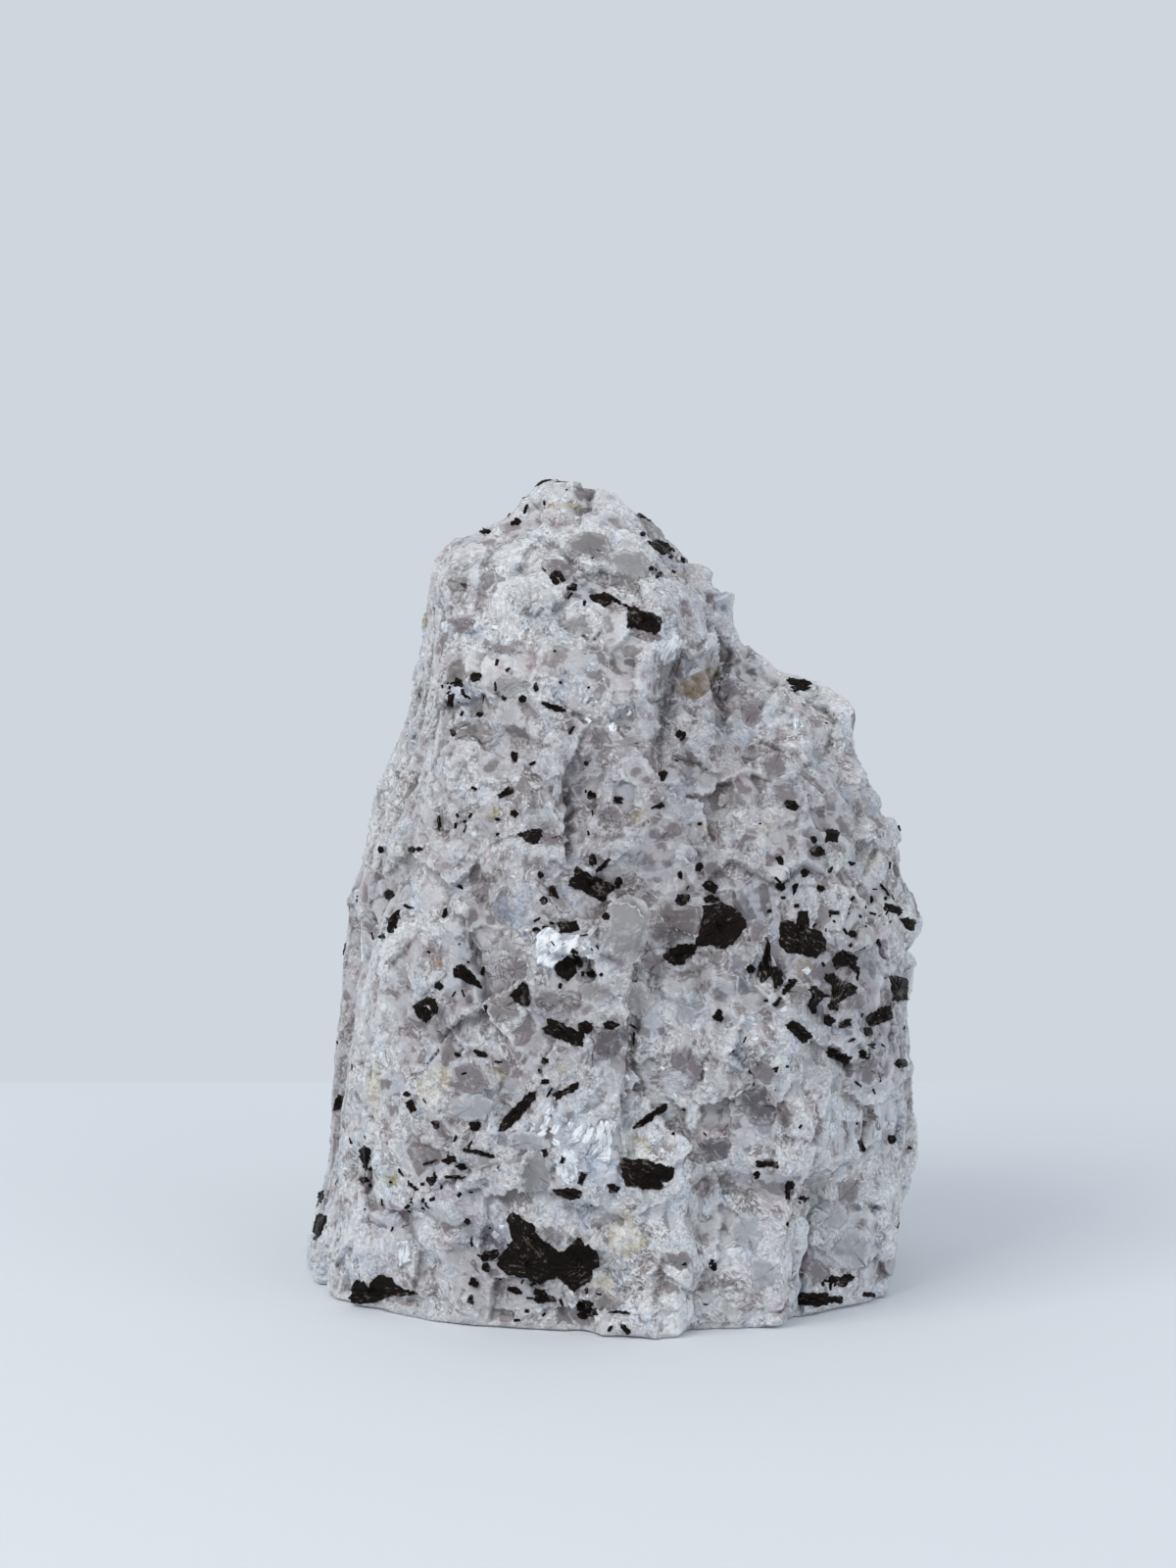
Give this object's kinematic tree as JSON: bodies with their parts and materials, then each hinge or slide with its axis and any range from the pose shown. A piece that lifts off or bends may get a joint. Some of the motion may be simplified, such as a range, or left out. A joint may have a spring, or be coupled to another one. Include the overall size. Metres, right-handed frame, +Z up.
{
  "type": "tourmalinated quartz",
  "caption": "Rough broken block of white quartz and feldspar rock with black tourmaline crystals, standing on a flat break and leaning in to a small knob on top.",
  "frame": {"origin": "middle of the flat break that the stone stands on, under the middle of its outline seen from above", "axes": "+Z up along the stone's height, +X to the right as the stone is shown, -Y towards the viewer"},
  "size_m": [0.0749, 0.0541, 0.0954],
  "materials": {
    "white_rock": "matte",
    "grey_quartz": "satin",
    "black_tourmaline": "satin"
  },
  "bodies": {
    "root": {"stone": "white_rock"}
  },
  "joints": []
}
